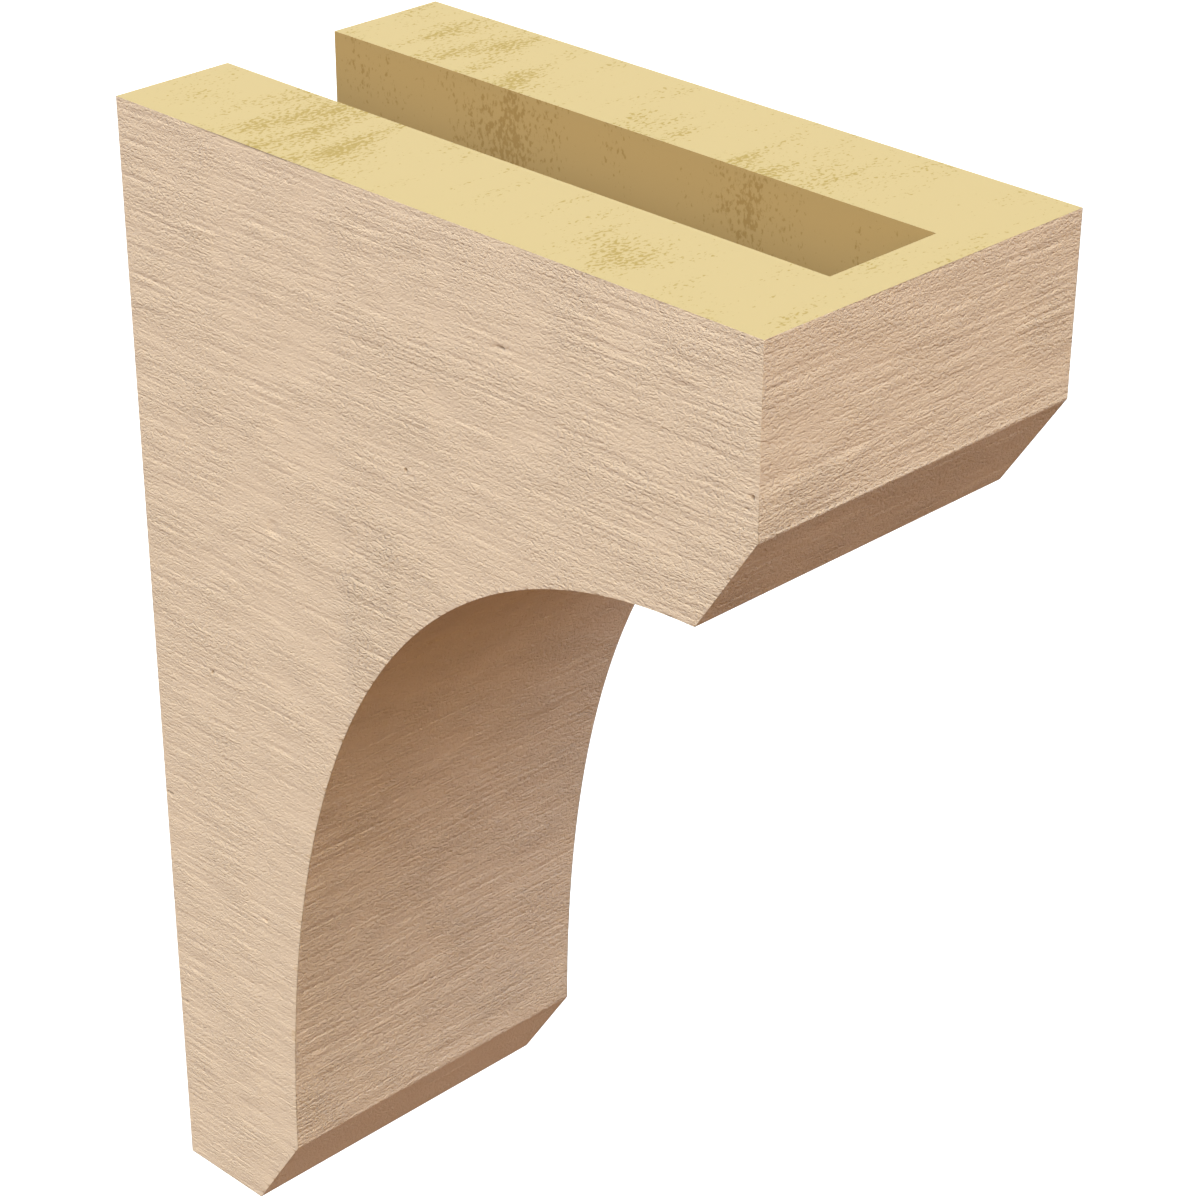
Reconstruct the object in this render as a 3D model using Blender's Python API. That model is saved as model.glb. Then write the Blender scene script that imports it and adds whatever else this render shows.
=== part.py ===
"""Rough-sawn faux-timber corbel, moulded in one piece with an open channel in its top and back.

Metres, +Z up. The origin is on the wall plane, on the centreline, level with the top: the corbel hangs
below it and stands out towards -Y. Its side outline is drawn once, in (out from the wall, up) pairs.
"""
import bmesh
import bpy
from math import radians
from mathutils import Vector

INCH = 0.0254

# Overall size
WIDTH = 6.0 * INCH
DEPTH = 12.0 * INCH
HEIGHT = 18.0 * INCH

# Side outline
NOSE_HEIGHT = 2.625 * INCH
NOSE_CHAMFER = Vector((1.0, 1.5)) * INCH
LEG_DEPTH = 2.75 * INCH
FOOT_CHAMFER = Vector((1.0, 1.5)) * INCH
ARCH_FULLNESS = 0.64
ARCH_SEGMENTS = 96

# Channel that slides over the block on the wall
CHANNEL_WIDTH = 2.0 * INCH
FRONT_WALL = 0.75 * INCH
CUTTER_OVERRUN = 0.5 * INCH

# Finish
SKIN_COLOUR = (0.66, 0.50, 0.36, 1.0)
SKIN_ROUGHNESS = 0.85

WELD_DISTANCE = 0.00001


def outline_corners():
    """Corners of the side outline between the top front edge and the foot, from the nose down."""
    nose_edge = Vector((DEPTH, -NOSE_HEIGHT))
    arch_front = nose_edge - NOSE_CHAMFER
    foot_edge = Vector((LEG_DEPTH, FOOT_CHAMFER.y - HEIGHT))
    foot_tip = foot_edge - FOOT_CHAMFER
    return nose_edge, arch_front, foot_edge, foot_tip


def inset_corner(before, corner, after, wall):
    """Corner of a clockwise outline moved inwards, by the wall, from both of its sides."""
    inward = []
    for start, end in ((before, corner), (corner, after)):
        along = (end - start).normalized()
        inward.append(Vector((along.y, -along.x)))
    return corner + wall * (inward[0] + inward[1]) / (1.0 + inward[0].dot(inward[1]))


def add_outline(name, corners, arch_start, half_thickness):
    """Flat outline as a 2D curve with one arch in it, extruded both ways and turned to face sideways."""
    curve = bpy.data.curves.new(name, "CURVE")
    curve.dimensions = "2D"
    curve.fill_mode = "BOTH"
    curve.extrude = half_thickness
    curve.resolution_u = ARCH_SEGMENTS
    curve.render_resolution_u = ARCH_SEGMENTS
    spline = curve.splines.new("BEZIER")
    spline.bezier_points.add(len(corners) - 1)
    spline.use_cyclic_u = True
    for point, corner in zip(spline.bezier_points, corners):
        point.co = corner.to_3d()
        point.handle_left_type = "VECTOR"
        point.handle_right_type = "VECTOR"
    top = spline.bezier_points[arch_start]
    foot = spline.bezier_points[arch_start + 1]
    span = corners[arch_start] - corners[arch_start + 1]
    top.handle_right_type = "FREE"
    top.handle_right = top.co - Vector((span.x * ARCH_FULLNESS, 0.0, 0.0))
    foot.handle_left_type = "FREE"
    foot.handle_left = foot.co + Vector((0.0, span.y * ARCH_FULLNESS, 0.0))
    outline = bpy.data.objects.new(name, curve)
    outline.rotation_euler = (radians(90.0), 0.0, radians(-90.0))
    return outline


def solid_from_outline(outline, collection):
    """Closed mesh object in the place of an outline, which is removed."""
    collection.objects.link(outline)
    bpy.context.view_layer.update()
    evaluated = outline.evaluated_get(bpy.context.evaluated_depsgraph_get())
    mesh = bpy.data.meshes.new_from_object(evaluated)
    shape = bmesh.new()
    shape.from_mesh(mesh)
    bmesh.ops.remove_doubles(shape, verts=shape.verts, dist=WELD_DISTANCE)
    bmesh.ops.recalc_face_normals(shape, faces=shape.faces)
    shape.to_mesh(mesh)
    shape.free()
    name = outline.name
    placement = outline.matrix_world.copy()
    bpy.data.objects.remove(outline)
    solid = bpy.data.objects.new(name, mesh)
    solid.matrix_world = placement
    collection.objects.link(solid)
    return solid


def add_body(collection):
    """The full side outline, as wide as the corbel."""
    nose_edge, arch_front, foot_edge, foot_tip = outline_corners()
    corners = [
        Vector((0.0, 0.0)),
        Vector((DEPTH, 0.0)),
        nose_edge,
        arch_front,
        foot_edge,
        foot_tip,
        Vector((0.0, -HEIGHT)),
    ]
    outline = add_outline("corbel", corners, corners.index(arch_front), WIDTH / 2.0)
    return solid_from_outline(outline, collection)


def add_channel_cutter(collection):
    """Cutter for the channel: it keeps one wall behind the nose and the arch, and a solid foot."""
    nose_edge, arch_front, foot_edge, _ = outline_corners()
    top_front = Vector((DEPTH, 0.0))
    level_with_arch = Vector((0.0, arch_front.y))
    inner_nose = inset_corner(top_front, nose_edge, arch_front, FRONT_WALL)
    inner_arch = inset_corner(nose_edge, arch_front, level_with_arch, FRONT_WALL)
    inner_foot = foot_edge - Vector((FRONT_WALL, 0.0))
    corners = [
        Vector((-CUTTER_OVERRUN, CUTTER_OVERRUN)),
        Vector((inner_nose.x, CUTTER_OVERRUN)),
        inner_nose,
        inner_arch,
        inner_foot,
        Vector((-CUTTER_OVERRUN, inner_foot.y)),
    ]
    outline = add_outline("channel_cutter", corners, corners.index(inner_arch), CHANNEL_WIDTH / 2.0)
    cutter = solid_from_outline(outline, collection)
    cutter.hide_render = True
    cutter.display_type = "WIRE"
    return cutter


def cut_channel(body, cutter):
    """Open the channel through the top and the back."""
    cut = body.modifiers.new("channel", "BOOLEAN")
    cut.operation = "DIFFERENCE"
    cut.solver = "EXACT"
    cut.object = cutter


def skin_material():
    """Tan primed skin of the moulded body."""
    material = bpy.data.materials.new("primed_skin")
    material.use_nodes = True
    shader = material.node_tree.nodes["Principled BSDF"]
    shader.inputs["Base Color"].default_value = SKIN_COLOUR
    shader.inputs["Roughness"].default_value = SKIN_ROUGHNESS
    shader.inputs["Metallic"].default_value = 0.0
    return material


def add_collection(name):
    """New collection under the scene's own."""
    collection = bpy.data.collections.new(name)
    bpy.context.scene.collection.children.link(collection)
    return collection


def clear_scene():
    """Start from a scene with no objects in it."""
    for thing in list(bpy.data.objects):
        bpy.data.objects.remove(thing)


def main():
    clear_scene()
    body = add_body(add_collection("corbel"))
    cutter = add_channel_cutter(add_collection("cutters"))
    cut_channel(body, cutter)
    body.data.materials.append(skin_material())


main()
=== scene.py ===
"""Looks of the sawn corbel: one moulded body with a rough-sawn skin and raw foam where it is open."""

import math

import bmesh
import bpy
from bpy.props import FloatProperty, FloatVectorProperty, IntProperty, PointerProperty
from mathutils import Matrix, Vector, kdtree, noise


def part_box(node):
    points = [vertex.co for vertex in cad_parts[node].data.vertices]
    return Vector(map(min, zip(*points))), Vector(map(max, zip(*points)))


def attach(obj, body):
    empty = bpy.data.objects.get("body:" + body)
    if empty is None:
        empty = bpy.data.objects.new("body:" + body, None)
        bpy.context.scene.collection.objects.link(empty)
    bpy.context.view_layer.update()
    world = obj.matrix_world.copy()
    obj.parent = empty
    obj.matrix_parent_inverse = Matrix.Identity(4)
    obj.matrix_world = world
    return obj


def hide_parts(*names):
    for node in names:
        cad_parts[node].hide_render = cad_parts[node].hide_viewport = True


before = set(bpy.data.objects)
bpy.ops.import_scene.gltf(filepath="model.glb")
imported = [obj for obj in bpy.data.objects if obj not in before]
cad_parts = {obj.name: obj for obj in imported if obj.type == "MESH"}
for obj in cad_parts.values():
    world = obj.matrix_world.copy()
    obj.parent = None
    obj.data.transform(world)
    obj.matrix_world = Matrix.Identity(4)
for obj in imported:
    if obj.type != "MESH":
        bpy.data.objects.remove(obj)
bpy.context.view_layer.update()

bl_info = {
    "name": "Sawn Corbel",
    "version": (1, 0, 0),
    "blender": (4, 5, 0),
    "location": "3D View > Sidebar > Corbel",
    "description": "Moulded corbel with a rough-sawn skin, and a studio to see it in",
    "category": "Object",
}

MM = 0.001
NODE = "corbel"
LOW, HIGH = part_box(NODE)

# Face kinds, which are also the body's material slots in this order
KINDS = range(4)
SIDE, FRONT, FOAM, CHANNEL = KINDS
WELD = 0.01 * MM
FLAT_ANGLE = math.radians(0.2)
CREASE_ANGLE = math.radians(20.0)
ROUGH = "rough"
TORN_AND_PIT_SHADE = "torn"

# Saw marks: distances from the wall where one band of the sides' grain ends
SIDE_MARKS = (50.0 * MM, 112.0 * MM, 138.0 * MM, 160.0 * MM, 217.0 * MM)

# Pits in the left side, in millimetres: from the wall, down from the top, radius, depth
PITS = (
    (34.0, 216.0, 0.8, 2.2), (4.0, 282.0, 0.8, 2.0), (58.0, 316.0, 0.8, 2.0), (4.0, 380.0, 0.8, 2.0),
    (146.0, 95.0, 0.8, 2.2), (194.0, 36.5, 0.8, 2.2), (302.0, 52.0, 0.8, 2.0), (74.0, 142.0, 4.0, 0.4),
)
# Shares of the radius of each of the pits where the slope starts and ends
PIT_SLOPE = (0.4, 1.1)

# Rough patches in millimetres: kind, along, down, half length, half height, gain.
# Along is from the wall on the left side, and from the left corner on the front.
ROUGH_PATCHES = (
    (SIDE, 125.0, 150.0, 16.0, 34.0, 0.45), (FRONT, 22.0, 59.0, 30.0, 9.0, 0.65),
    (FRONT, 140.0, 32.0, 14.0, 14.0, 0.35),
)

# Torn foam in millimetres: from the middle, from the wall, down from the top, reach, strength
TORN_PATCHES = (
    (-58.0, 74.0, 0.0, 52.0, 1.0), (-35.0, 60.0, 0.0, 40.0, 0.8), (55.0, 50.0, 0.0, 48.0, 0.8),
    (-50.0, 8.0, 0.0, 36.0, 0.5), (-50.0, 225.0, 0.0, 40.0, 0.6), (55.0, 225.0, 0.0, 42.0, 0.6),
    (40.0, 155.0, 0.0, 30.0, 0.5), (0.0, 296.0, 0.0, 34.0, 0.4),
    (25.0, 88.0, 14.0, 44.0, 0.9), (25.0, 205.0, 10.0, 30.0, 0.9), (25.0, 10.0, 10.0, 22.0, 0.6),
)

# Gain of the front's relief, what the arch adds to it, and the share of the ridges that the front loses
FRONT_GAIN = 1.2
ARCH_GAIN = 1.0
FRONT_EVEN = 0.3

# How far down the arch starts and ends, in metres
ARCH_START = (0.064, 0.068)
ARCH_END = (0.412, 0.424)

# Mix of the relief: long grooves, short grooves, waves, and the level that they start from
LONG_SHARE, SHORT_SHARE, WAVE_SHARE, LEVEL = 2.5, 1.2, 0.4, 0.4
DEEPEST_GROOVE = 1.5
OPEN_RIDGES = 0.9

# Layers of the fuzz: size, stretch along the grain, detail, share of the height
FUZZ_LAYERS = ((0.85, 1.2, 1.0, 2.0), (1.8, 1.5, 1.0, 2.9), (1.6, 30.0, 0.0, 1.0))
FUZZ_TOP = 0.54
FUZZ_ROUNDING = 0.10

# Specks of the foam: what a torn place adds, their level and gain, and where light turns to dark
TORN_GAIN = 0.2
SPECK_LEVEL = 0.37
SPECK_GAIN = 0.87
SPECK_EDGES = (0.90, 0.99)

# Suns: name, azimuth and elevation in degrees, strength, colour.
# Azimuth 0 shines from the front and 90 from the right.
SUNS = (
    ("left_light", -90.0, 45.0, 0.91, (0.58, 0.78, 1.16)),
    ("key_light", -58.0, 30.0, 0.57, (1.0, 0.78, 0.40)),
    ("top_light", -60.0, 75.0, 0.64, (1.07, 1.05, 0.71)),
    ("front_light", 35.0, 43.0, 0.68, (0.66, 0.89, 1.26)),
    ("low_light", 35.0, 10.0, 0.18, (1.0, 0.45, 0.0)),
    ("back_light", 165.0, 15.0, 0.6, (1.0, 1.0, 1.0)),
)
SUN_SPREAD = 50.0
GLOW_COLOUR = (1.11, 0.75, 0.60, 1.0)
GLOW_FROM_BELOW = -0.5

# Camera: lens in millimetres, shift, place in metres, azimuth and elevation in degrees
CAMERA_LENS = 99.625
CAMERA_SHIFT = (0.01998, 0.14019)
CAMERA_PLACE = (-0.75204, -0.90282, 0.38389)
CAMERA_AZIMUTH = -45.0016
CAMERA_ELEVATION = 30.4219


class SawnGrain(bpy.types.PropertyGroup):
    """Relief of the skin: ridges along the grain and fuzz between them, in bands left by the saw."""

    row: FloatProperty(
        name="Row", description="Mesh spacing across the grain",
        default=0.75 * MM, min=0.5 * MM, unit="LENGTH")
    column: FloatProperty(
        name="Column", description="Mesh spacing along the grain",
        default=3.6 * MM, min=0.5 * MM, unit="LENGTH")
    ridge_width: FloatProperty(
        name="Ridge width", description="Usual width of a ridge",
        default=1.3 * MM, min=0.5 * MM, unit="LENGTH")
    ridge_length: FloatProperty(
        name="Ridge length", description="Usual length of a ridge",
        default=36.0 * MM, min=1.0 * MM, unit="LENGTH")
    ridge_height: FloatProperty(
        name="Ridge height", description="Height of the ridges; the deepest grooves are 1.5 times as deep",
        default=0.42 * MM, min=0.0, unit="LENGTH")
    fuzz_size: FloatProperty(
        name="Fuzz size", description="Usual size of the fuzz's grains",
        default=0.58 * MM, min=0.1 * MM, unit="LENGTH")
    fuzz_height: FloatProperty(
        name="Fuzz height", description="Height of the fuzz, drawn by the material",
        default=0.25 * MM, min=0.0, unit="LENGTH")
    side_gain: FloatProperty(
        name="Side gain", description="How much rougher the sides are than the front",
        default=1.2, min=0.0)
    rim: FloatProperty(
        name="Rim", description="Width along the corners where the ridges die out",
        default=2.0 * MM, min=0.1 * MM, unit="LENGTH")
    seed: IntProperty(name="Seed", description="Which board the mould was taken from", default=7)


class RawFoam(bpy.types.PropertyGroup):
    """Mesh and specks of the bare foam on top, in the channel and at the back."""

    cell: FloatProperty(
        name="Cell", description="Mesh spacing on the foam",
        default=8.0 * MM, min=1.0 * MM, unit="LENGTH")
    speck: FloatProperty(
        name="Speck", description="Usual size of the specks in torn foam",
        default=1.3 * MM, min=0.1 * MM, unit="LENGTH")
    streak: FloatProperty(
        name="Streak", description="Usual length of the streaks of specks",
        default=45.0 * MM, min=1.0 * MM, unit="LENGTH")


class Finish(bpy.types.PropertyGroup):
    """Colours of the skin and the foam, with painted shade in the pits and in the channel."""

    skin: FloatVectorProperty(
        name="Skin", description="Tan primer", subtype="COLOR", size=3, min=0.0, max=1.0,
        default=(0.675, 0.514, 0.363))
    # Painted shade: the pits' colour is a dark brown that stands for the shade down in the pits
    pit_shade: FloatVectorProperty(
        name="Pit", description="Painted shade inside the pits", subtype="COLOR", size=3, min=0.0, max=1.0,
        default=(0.16, 0.10, 0.06))
    foam: FloatVectorProperty(
        name="Foam", description="Clean cut foam", subtype="COLOR", size=3, min=0.0, max=1.0,
        default=(0.440, 0.327, 0.152))
    foam_dark: FloatVectorProperty(
        name="Torn foam", description="Foam in the torn patches", subtype="COLOR", size=3, min=0.0, max=1.0,
        default=(0.325, 0.225, 0.065))
    # Painted shade: the channel's clean and torn foam colours are darker, redder copies of the top foam's,
    # standing for the shade in the channel
    channel: FloatVectorProperty(
        name="Channel foam", description="Clean foam in the channel", subtype="COLOR", size=3,
        min=0.0, max=1.0, default=(0.422, 0.281, 0.106))
    channel_dark: FloatVectorProperty(
        name="Torn channel foam", description="Torn foam in the channel", subtype="COLOR", size=3,
        min=0.0, max=1.0, default=(0.33, 0.205, 0.065))


class Studio(bpy.types.PropertyGroup):
    """Size of the floor and how far it lies below the corbel."""

    floor_drop: FloatProperty(
        name="Floor drop", description="How far the floor is below the top of the corbel",
        default=2.0, min=0.5, unit="LENGTH")
    floor_size: FloatProperty(
        name="Floor size", description="Side of the floor", default=40.0, min=4.0, unit="LENGTH")


def across_axis(axis):
    """Unit vector along an axis given by its number."""
    normal = Vector((0.0, 0.0, 0.0))
    normal[axis] = 1.0
    return normal


def slice_across(shape, faces, axis, spacing, hold=0.0):
    """Cut faces into even strips across an axis, with a narrow one at each end where hold is given.

    It works along the axis, so that each cut sees only the faces that are still beyond it.
    """
    reach = [vert.co[axis] for face in faces for vert in face.verts]
    start, end = min(reach), max(reach)
    count = max(1, round((end - start) / spacing))
    places = [start + (end - start) * number / count for number in range(1, count)]
    if hold:
        places = [start + hold, *places, end - hold]
    normal = across_axis(axis)
    done, left = [], list(faces)
    for place in places:
        edges = {edge for face in left for edge in face.edges}
        verts = {vert for face in left for vert in face.verts}
        cut = bmesh.ops.bisect_plane(
            shape, geom=[*left, *edges, *verts], dist=WELD / 10, plane_co=normal * place, plane_no=normal)
        left = []
        for face in cut["geom"]:
            if isinstance(face, bmesh.types.BMFace):
                beyond = face.calc_center_median()[axis] > place
                (left if beyond else done).append(face)
    return done + left


def solid_copy(node):
    """Welded copy of a node, with its flat faces whole and its corners marked."""
    shape = bmesh.new()
    shape.from_mesh(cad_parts[node].data)
    bmesh.ops.remove_doubles(shape, verts=shape.verts, dist=WELD)
    bmesh.ops.dissolve_limit(shape, angle_limit=FLAT_ANGLE, verts=shape.verts, edges=shape.edges)
    for edge in shape.edges:
        edge.smooth = edge.calc_face_angle(0.0) < CREASE_ANGLE
    return shape


def sort_faces(shape):
    """Give each face its kind: skin on the sides and round the front, foam elsewhere."""
    for face in shape.faces:
        face.smooth = True
        if abs(face.normal.x) > 0.5:
            outer = abs(face.calc_center_median().x) > HIGH.x / 2
            face.material_index = SIDE if outer else CHANNEL
        elif min(face.normal.y, face.normal.z) < -0.01:
            face.material_index = FRONT
        else:
            face.material_index = FOAM


def cut_rows(shape, grain, foam):
    """Cut the body's faces to the mesh that each finish needs, the finest cuts while there are few faces."""
    hold = grain.row * 0.6
    kinds = {kind: [f for f in shape.faces if f.material_index == kind] for kind in KINDS}
    steep = [f for f in kinds[FRONT] if abs(f.normal.y) >= abs(f.normal.z)]
    shallow = [f for f in kinds[FRONT] if abs(f.normal.y) < abs(f.normal.z)]
    sides = slice_across(shape, kinds[SIDE], 2, grain.row)
    steep = slice_across(shape, steep, 2, grain.row)
    shallow = slice_across(shape, shallow, 1, grain.row)
    bare = [f for f in kinds[FOAM] + kinds[CHANNEL] if f.is_valid]
    for axis in (2, 1, 0):
        bare = slice_across(shape, bare, axis, foam.cell)
    slice_across(shape, steep + shallow, 0, grain.column, hold)
    slice_across(shape, sides, 1, grain.column, hold)


def refine_pits(shape, grain, pits):
    """Cut the faces round the pits several times along the grain and once across it."""
    for cuts, shortest in ((5, grain.column / 2), (1, grain.row * 0.7)):
        edges = set()
        for face in shape.faces:
            if face.material_index in (SIDE, FRONT):
                middle = face.calc_center_median()
                _, number, away = pits.tree.find(middle)
                if away < pits.radii[number] + grain.row:
                    edges.update(edge for edge in face.edges if edge.calc_length() > shortest)
        bmesh.ops.subdivide_edges(shape, edges=list(edges), cuts=cuts, use_grid_fill=True)


def rim_verts(shape):
    """The vertices on the body's corners."""
    return [vert for vert in shape.verts if not all(edge.smooth for edge in vert.link_edges)]


def weld_slivers(shape, grain):
    """Weld what the carving left closer to a corner than its own depth, where a sliver can fold over."""
    close = bmesh.ops.find_doubles(
        shape, verts=shape.verts, keep_verts=rim_verts(shape), dist=grain.ridge_height * 0.5)
    bmesh.ops.weld_verts(shape, targetmap=close["targetmap"])


class Pits:
    """The pits in the left side, in metres, with a tree to find the nearest one."""

    def __init__(self):
        self.tree = kdtree.KDTree(len(PITS))
        self.radii, self.depths = [], []
        for number, (along, down, radius, depth) in enumerate(PITS):
            self.tree.insert(Vector((LOW.x, -along * MM, -down * MM)), number)
            self.radii.append(radius * MM)
            self.depths.append(depth * MM)
        self.tree.balance()

    def depth_at(self, co):
        """Depth that the nearest of the pits adds at a place."""
        _, number, away = self.tree.find(co)
        return self.depths[number] * (1.0 - smooth_step(away / self.radii[number], *PIT_SLOPE))


def smooth_step(value, low, high):
    """0 below low, 1 above high, eased between them."""
    share = min(1.0, max(0.0, (value - low) / (high - low)))
    return share * share * (3.0 - 2.0 * share)


def band_number(along, across, edges):
    """Number of the saw band at a place, with edges that wander a little."""
    wander = 0.8 * MM * noise.noise(Vector((along, across.x, across.y)) / (5.0 * MM))
    return sum(along + wander > edge for edge in edges)


def roughness_of(along, across, band, seed):
    """How rough the skin is at a place, from 0.5 to 1.4: patches, and a level of its own in each band."""
    place = Vector((along / 0.026, across.x / 0.014, across.y / 0.014 + seed * 3.7))
    patch = noise.noise(place) + 0.5 * noise.noise(place * 2.3)
    level = noise.noise(Vector((band * 1.7 + 0.5, seed * 2.1, 0.5)))
    return min(1.4, max(0.5, 0.95 + 0.45 * patch + 0.2 * level))


def ridge_height(along, across, band, grain, seed):
    """Height of the ridges at a place, up to about 1."""
    sway = 0.06 * grain.ridge_width * noise.noise(Vector((along / 0.020, across.x / 0.012, seed + band)))
    u = along / grain.ridge_length + seed * 13.7 + band * 5.3
    v = (across.x + sway) / grain.ridge_width
    w = (across.y + sway) / grain.ridge_width
    long_grooves = min(0.0, noise.noise(Vector((u, v, w))) + 0.05)
    short_grooves = min(0.0, noise.noise(Vector((u * 3.0, v * 0.9 + 9.0, w * 0.9))) + 0.12)
    waves = noise.noise(Vector((u * 1.2, v * 0.2, w * 0.2 + 4.0)))
    return LONG_SHARE * long_grooves + SHORT_SHARE * short_grooves + WAVE_SHARE * waves + LEVEL


def board_place(kind, co, grain):
    """Where a place on the skin lies on its board: along and across the grain, saw band and seed."""
    if kind == SIDE:
        along, across = -co.y, Vector((co.z, 0.0))
        seed = grain.seed + (1.0 if co.x > 0.0 else -1.0)
        return along, across, band_number(along, across, SIDE_MARKS), seed
    return co.x - LOW.x, Vector((co.z, co.y)), 0, grain.seed + 3.0


def skin_gain(kind, co, grain):
    """Gain of the relief at a place on the skin, and the share of the ridges lost there."""
    if kind == SIDE:
        return grain.side_gain, 0.0
    arch = smooth_step(-co.z, *ARCH_START) * (1.0 - smooth_step(-co.z, *ARCH_END))
    return FRONT_GAIN + ARCH_GAIN * arch, FRONT_EVEN * (1.0 - arch)


def skin_relief(kind, co, calm, grain):
    """Depth of the relief at a place on the skin, and how rough it is there.

    Calm is 1 where the ridges die out.
    """
    along, across, band, seed = board_place(kind, co, grain)
    gain, even = skin_gain(kind, co, grain)
    rough = gain * roughness_of(along, across, band, seed)
    for patch_kind, middle, down, half_length, half_height, more in ROUGH_PATCHES:
        if patch_kind == kind and co.x < HIGH.x - WELD:
            away = max(abs(along / MM - middle) / half_length, abs(-co.z / MM - down) / half_height)
            rough *= 1.0 + more * (1.0 - smooth_step(away, 0.7, 1.2))
    height = ridge_height(along, across, band, grain, seed) * rough / max(1.0, gain / FRONT_GAIN)
    height = height * (1.0 - calm) * (1.0 - even)
    return grain.ridge_height * min(DEEPEST_GROOVE, max(0.0, 0.5 - 0.5 * height)), rough


def torn_at(co):
    """How torn the foam is at a place, from 0 to about 1."""
    torn = 0.0
    for side, out, down, reach, strength in TORN_PATCHES:
        away = (co - Vector((side, -out, -down)) * MM).length / (reach * MM)
        torn = max(torn, strength * (1.0 - smooth_step(away, 0.2, 1.0)))
    return torn


def push_in(normals, depths):
    """Move that takes a vertex a depth of its own below each of the flat faces that meet there."""
    if len(normals) == 1:
        return normals[0] * -depths[0]
    rows, goal = list(normals[:3]), [-depth for depth in depths[:3]]
    if len(rows) == 2:
        rows.append(rows[0].cross(rows[1]))
        goal.append(0.0)
    return Matrix(rows).inverted() @ Vector(goal)


def carve(shape, grain, pits):
    """Press the relief into the skin, always inwards, and keep how rough and torn each place is.

    Torn is how torn the raw foam is, and in the skin how much painted shade the pits lay there, from their
    depth.
    """
    rough_layer = shape.verts.layers.float.new(ROUGH)
    torn_and_pit_shade_layer = shape.verts.layers.float.new(TORN_AND_PIT_SHADE)
    rims = rim_verts(shape)
    corners = kdtree.KDTree(len(rims))
    for number, vert in enumerate(rims):
        corners.insert(vert.co, number)
    corners.balance()
    moves = []
    for vert in shape.verts:
        calm = 1.0 - OPEN_RIDGES * smooth_step(corners.find(vert.co)[2], 0.0, grain.rim)
        normals, depths, roughs, pitted = [], [], [], 0.0
        for face in vert.link_faces:
            if all(face.normal.dot(other) < 0.95 for other in normals):
                depth = 0.0
                if face.material_index in (SIDE, FRONT):
                    depth, rough = skin_relief(face.material_index, vert.co, calm, grain)
                    pitted = pits.depth_at(vert.co)
                    depth += pitted
                    roughs.append(rough)
                normals.append(face.normal.copy())
                depths.append(depth)
        moves.append((vert, push_in(normals, depths), min(roughs, default=0.0), pitted))
    for vert, move, rough, pitted in moves:
        vert[rough_layer] = rough
        if vert.link_faces and max(face.material_index for face in vert.link_faces) >= FOAM:
            vert[torn_and_pit_shade_layer] = torn_at(vert.co)
        else:
            # Painted shade in the pits: it starts half a millimetre down and is full one and a half
            # millimetres down
            vert[torn_and_pit_shade_layer] = min(1.0, max(0.0, pitted / MM - 0.5))
        vert.co += move


def new_material(name, roughness):
    """Material with a plain Principled BSDF, and its node tree, shader and Object coordinates."""
    material = bpy.data.materials.new(name)
    material.use_nodes = True
    tree = material.node_tree
    shader = tree.nodes["Principled BSDF"]
    shader.inputs["Roughness"].default_value = roughness
    shader.inputs["Specular IOR Level"].default_value = 0.25
    place = tree.nodes.new("ShaderNodeTexCoord").outputs["Object"]
    return material, tree, shader, place


def stretched_noise(tree, place, wavelengths, detail):
    """Noise output with its own grain size along each axis, in metres."""
    mapping = tree.nodes.new("ShaderNodeMapping")
    mapping.inputs["Scale"].default_value = [1.0 / length for length in wavelengths]
    texture = tree.nodes.new("ShaderNodeTexNoise")
    texture.inputs["Scale"].default_value = 1.0
    texture.inputs["Detail"].default_value = detail
    tree.links.new(place, mapping.inputs["Vector"])
    tree.links.new(mapping.outputs["Vector"], texture.inputs["Vector"])
    return texture.outputs["Fac"]


def combine(tree, operation, first, second):
    """Output of a Math node; each of its inputs is an output or a number."""
    node = tree.nodes.new("ShaderNodeMath")
    node.operation = operation
    for socket, value in zip(node.inputs, (first, second)):
        if isinstance(value, bpy.types.NodeSocket):
            tree.links.new(value, socket)
        else:
            socket.default_value = value
    return node.outputs[0]


def attribute(tree, name):
    """Output of a value kept on the mesh."""
    node = tree.nodes.new("ShaderNodeAttribute")
    node.attribute_name = name
    return node.outputs["Fac"]


def skin_material(name, colour, pit_shade, grain, axis):
    """Tan primer with painted shade in the pits, over fuzz, lumps and threads that run along an axis and are
    flat on top.
    """
    material, tree, shader, place = new_material(name, 0.85)
    height = None
    for width, stretch, detail, share in FUZZ_LAYERS:
        size = [grain.fuzz_size * width] * 3
        size[axis] *= stretch
        flat = tree.nodes.new("ShaderNodeMath")
        flat.operation = "SMOOTH_MIN"
        flat.inputs[1].default_value = FUZZ_TOP
        flat.inputs[2].default_value = FUZZ_ROUNDING
        tree.links.new(stretched_noise(tree, place, size, detail), flat.inputs[0])
        layer = combine(tree, "MULTIPLY", flat.outputs[0], share)
        height = layer if height is None else combine(tree, "ADD", height, layer)
    height = combine(tree, "MULTIPLY", height, attribute(tree, ROUGH))
    bump = tree.nodes.new("ShaderNodeBump")
    bump.inputs["Strength"].default_value = 1.0
    bump.inputs["Distance"].default_value = grain.fuzz_height
    tree.links.new(height, bump.inputs["Height"])
    tree.links.new(bump.outputs["Normal"], shader.inputs["Normal"])
    # Painted shade: the primer turns to the pits' dark colour where the pits go deep
    ramp = tree.nodes.new("ShaderNodeValToRGB")
    ramp.color_ramp.elements[0].color = (*colour, 1.0)
    ramp.color_ramp.elements[1].color = (*pit_shade, 1.0)
    tree.links.new(attribute(tree, TORN_AND_PIT_SHADE), ramp.inputs["Fac"])
    tree.links.new(ramp.outputs["Color"], shader.inputs["Base Color"])
    return material


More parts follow.
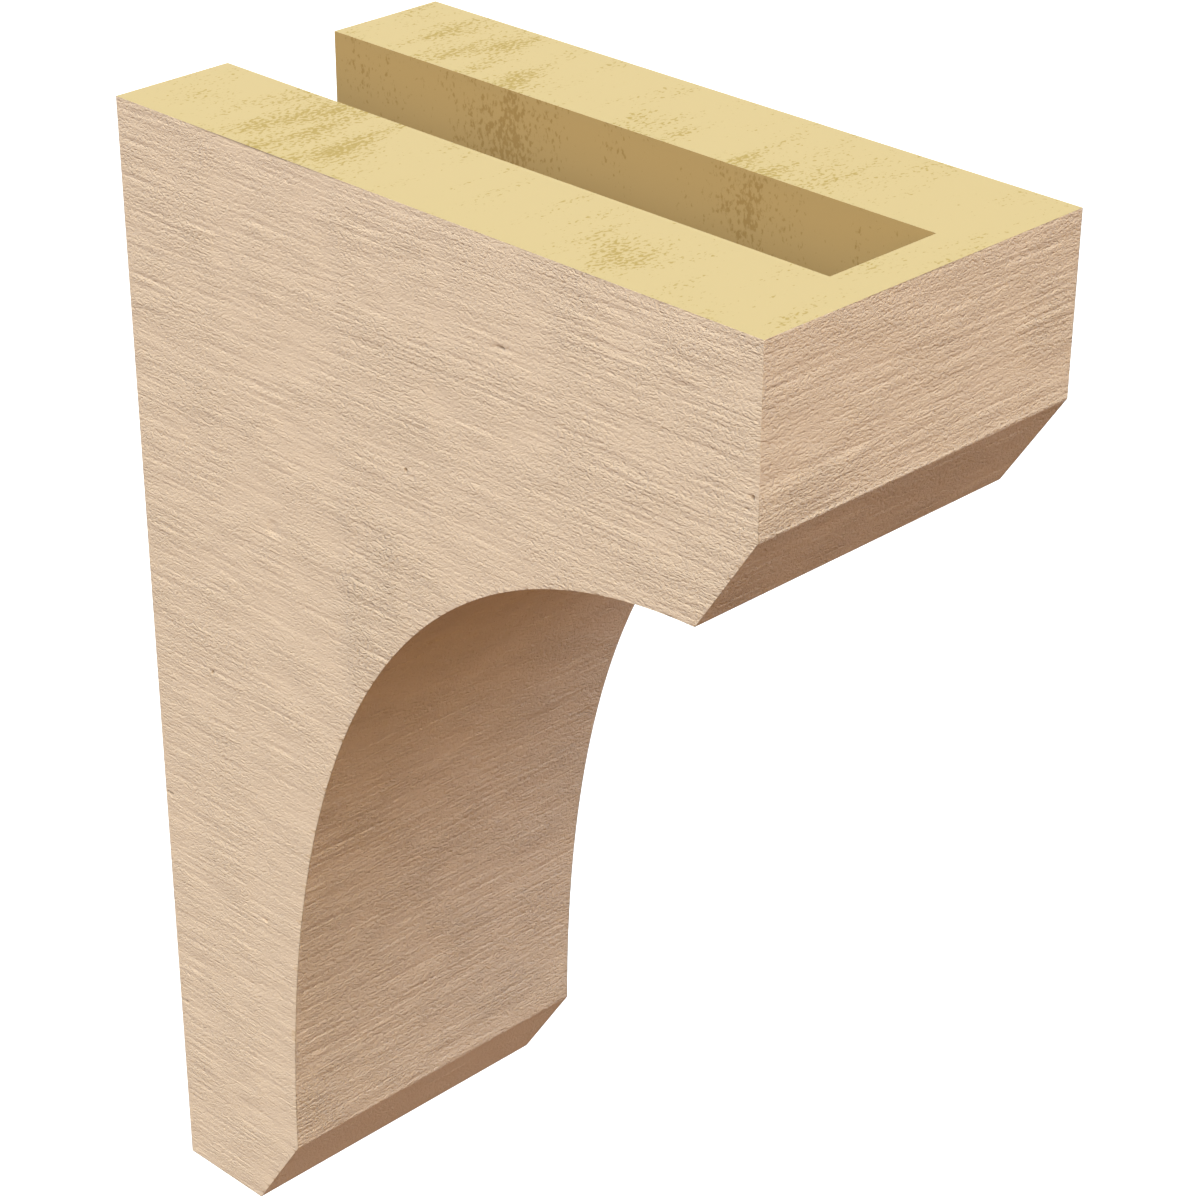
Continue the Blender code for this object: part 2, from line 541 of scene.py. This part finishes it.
def foam_material(name, light, dark, foam, axis, contrast):
    """Raw yellow foam with torn, darker specks in streaks that run along an axis."""
    material, tree, shader, place = new_material(name, 0.9)
    size = [foam.streak * 0.25] * 3
    size[axis] = foam.streak
    streaks = stretched_noise(tree, place, size, 3.0)
    speck_size = [foam.speck] * 3
    speck_size[axis] *= 1.5
    specks = stretched_noise(tree, place, speck_size, 3.0)
    torn = combine(tree, "MULTIPLY", attribute(tree, TORN_AND_PIT_SHADE), TORN_GAIN)
    spread = combine(tree, "MULTIPLY", combine(tree, "SUBTRACT", streaks, 0.5), contrast)
    amount = combine(tree, "ADD", combine(tree, "ADD", spread, torn), SPECK_LEVEL)
    dark_share = combine(tree, "MULTIPLY", combine(tree, "ADD", specks, amount), SPECK_GAIN)
    ramp = tree.nodes.new("ShaderNodeValToRGB")
    ramp.color_ramp.elements[0].position = SPECK_EDGES[0]
    ramp.color_ramp.elements[1].position = SPECK_EDGES[1]
    ramp.color_ramp.elements[0].color = (*light, 1.0)
    ramp.color_ramp.elements[1].color = (*dark, 1.0)
    tree.links.new(dark_share, ramp.inputs["Fac"])
    tree.links.new(ramp.outputs["Color"], shader.inputs["Base Color"])
    return material


class CORBEL_OT_body(bpy.types.Operator):
    """Make the corbel's body with its sawn skin and raw foam"""

    bl_idname = "corbel.body"
    bl_label = "Corbel Body"

    def execute(self, context):
        scene = context.scene
        grain, foam, finish = scene.sawn_grain, scene.raw_foam, scene.corbel_finish
        shape = solid_copy(NODE)
        sort_faces(shape)
        cut_rows(shape, grain, foam)
        pits = Pits()
        refine_pits(shape, grain, pits)
        shape.normal_update()
        carve(shape, grain, pits)
        weld_slivers(shape, grain)
        mesh = bpy.data.meshes.new("corbel_body")
        shape.to_mesh(mesh)
        shape.free()
        for material in (
                # Both skins carry painted shade in their pits
                skin_material("sawn_side", finish.skin, finish.pit_shade, grain, 1),
                skin_material("sawn_front", finish.skin, finish.pit_shade, grain, 0),
                foam_material("raw_foam", finish.foam, finish.foam_dark, foam, 0, 0.75),
                # The channel foam is the foam material with painted shade in its colours
                foam_material("channel_foam_painted_shade", finish.channel, finish.channel_dark, foam, 2, 0.45)):
            mesh.materials.append(material)
        body = bpy.data.objects.new("corbel_body", mesh)
        scene.collection.objects.link(body)
        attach(body, "root")
        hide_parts(NODE)
        return {"FINISHED"}


def add_sun(name, azimuth, elevation, strength, colour):
    """Soft light from far away."""
    light = bpy.data.lights.new(name, "SUN")
    light.energy = strength * math.pi
    light.color = colour
    light.angle = math.radians(SUN_SPREAD)
    lamp = bpy.data.objects.new(name, light)
    side, height = math.radians(azimuth), math.radians(elevation)
    level = math.cos(height)
    towards = Vector((math.sin(side) * level, -math.cos(side) * level, math.sin(height)))
    lamp.rotation_euler = towards.to_track_quat("Z", "Y").to_euler()
    bpy.context.scene.collection.objects.link(lamp)


def add_world():
    """White all round for the camera, and a warm glow from below for the underside."""
    world = bpy.data.worlds.new("studio")
    bpy.context.scene.world = world
    world.use_nodes = True
    tree = world.node_tree
    tree.nodes.clear()
    output = tree.nodes.new("ShaderNodeOutputWorld")
    white = tree.nodes.new("ShaderNodeBackground")
    glow = tree.nodes.new("ShaderNodeBackground")
    mix = tree.nodes.new("ShaderNodeMixShader")
    path = tree.nodes.new("ShaderNodeLightPath")
    place = tree.nodes.new("ShaderNodeTexCoord")
    split = tree.nodes.new("ShaderNodeSeparateXYZ")
    down = tree.nodes.new("ShaderNodeMath")
    down.operation = "MULTIPLY"
    down.use_clamp = True
    down.inputs[1].default_value = GLOW_FROM_BELOW
    glow.inputs["Color"].default_value = GLOW_COLOUR
    tree.links.new(place.outputs["Generated"], split.inputs["Vector"])
    tree.links.new(split.outputs["Z"], down.inputs[0])
    tree.links.new(down.outputs[0], glow.inputs["Strength"])
    tree.links.new(path.outputs["Is Camera Ray"], mix.inputs["Fac"])
    tree.links.new(glow.outputs[0], mix.inputs[1])
    tree.links.new(white.outputs[0], mix.inputs[2])
    tree.links.new(mix.outputs[0], output.inputs["Surface"])
    white.inputs["Color"].default_value = (1.0, 1.0, 1.0, 1.0)


def add_floor(studio):
    """Plain white floor well below the corbel, which hangs from its wall block."""
    shape = bmesh.new()
    bmesh.ops.create_grid(
        shape, x_segments=1, y_segments=1, size=studio.floor_size / 2,
        matrix=Matrix.Translation((0.0, 0.0, -studio.floor_drop)))
    mesh = bpy.data.meshes.new("floor")
    shape.to_mesh(mesh)
    shape.free()
    material, _, shader, _ = new_material("white_floor", 0.9)
    shader.inputs["Base Color"].default_value = (0.9, 0.9, 0.9, 1.0)
    mesh.materials.append(material)
    floor = bpy.data.objects.new("floor", mesh)
    floor.visible_diffuse = False
    floor.visible_glossy = False
    floor.visible_shadow = False
    bpy.context.scene.collection.objects.link(floor)


def add_camera():
    """Camera at the photograph's viewing angle."""
    data = bpy.data.cameras.new("camera")
    data.sensor_width = 36.0
    data.lens = CAMERA_LENS
    data.shift_x, data.shift_y = CAMERA_SHIFT
    camera = bpy.data.objects.new("camera", data)
    camera.location = CAMERA_PLACE
    camera.rotation_euler = (math.radians(90.0 - CAMERA_ELEVATION), 0.0, math.radians(CAMERA_AZIMUTH))
    bpy.context.scene.collection.objects.link(camera)
    bpy.context.scene.camera = camera


class CORBEL_OT_stage(bpy.types.Operator):
    """Set up the floor, the soft lights and the camera"""

    bl_idname = "corbel.stage"
    bl_label = "Studio Stage"

    def execute(self, context):
        context.scene.view_settings.view_transform = "Standard"
        add_floor(context.scene.corbel_studio)
        add_world()
        for sun in SUNS:
            add_sun(*sun)
        add_camera()
        return {"FINISHED"}


class CORBEL_PT_panel(bpy.types.Panel):
    """Shows the settings of the grain, the foam, the finish and the studio, with buttons for the body and
    the stage
    """

    bl_idname = "CORBEL_PT_panel"
    bl_label = "Sawn Corbel"
    bl_space_type = "VIEW_3D"
    bl_region_type = "UI"
    bl_category = "Corbel"

    def draw(self, context):
        for group_name in GROUPS:
            group = getattr(context.scene, group_name)
            box = self.layout.box()
            for name in group.__annotations__:
                box.prop(group, name)
        self.layout.operator(CORBEL_OT_body.bl_idname)
        self.layout.operator(CORBEL_OT_stage.bl_idname)


GROUPS = {"sawn_grain": SawnGrain, "raw_foam": RawFoam, "corbel_finish": Finish, "corbel_studio": Studio}
CLASSES = (*GROUPS.values(), CORBEL_OT_body, CORBEL_OT_stage, CORBEL_PT_panel)


def register():
    for kind in CLASSES:
        bpy.utils.register_class(kind)
    for name, group in GROUPS.items():
        setattr(bpy.types.Scene, name, PointerProperty(type=group))


def unregister():
    for name in GROUPS:
        delattr(bpy.types.Scene, name)
    for kind in reversed(CLASSES):
        bpy.utils.unregister_class(kind)


def main():
    register()
    bpy.ops.corbel.body()
    bpy.ops.corbel.stage()


if __name__ == "__main__":
    main()
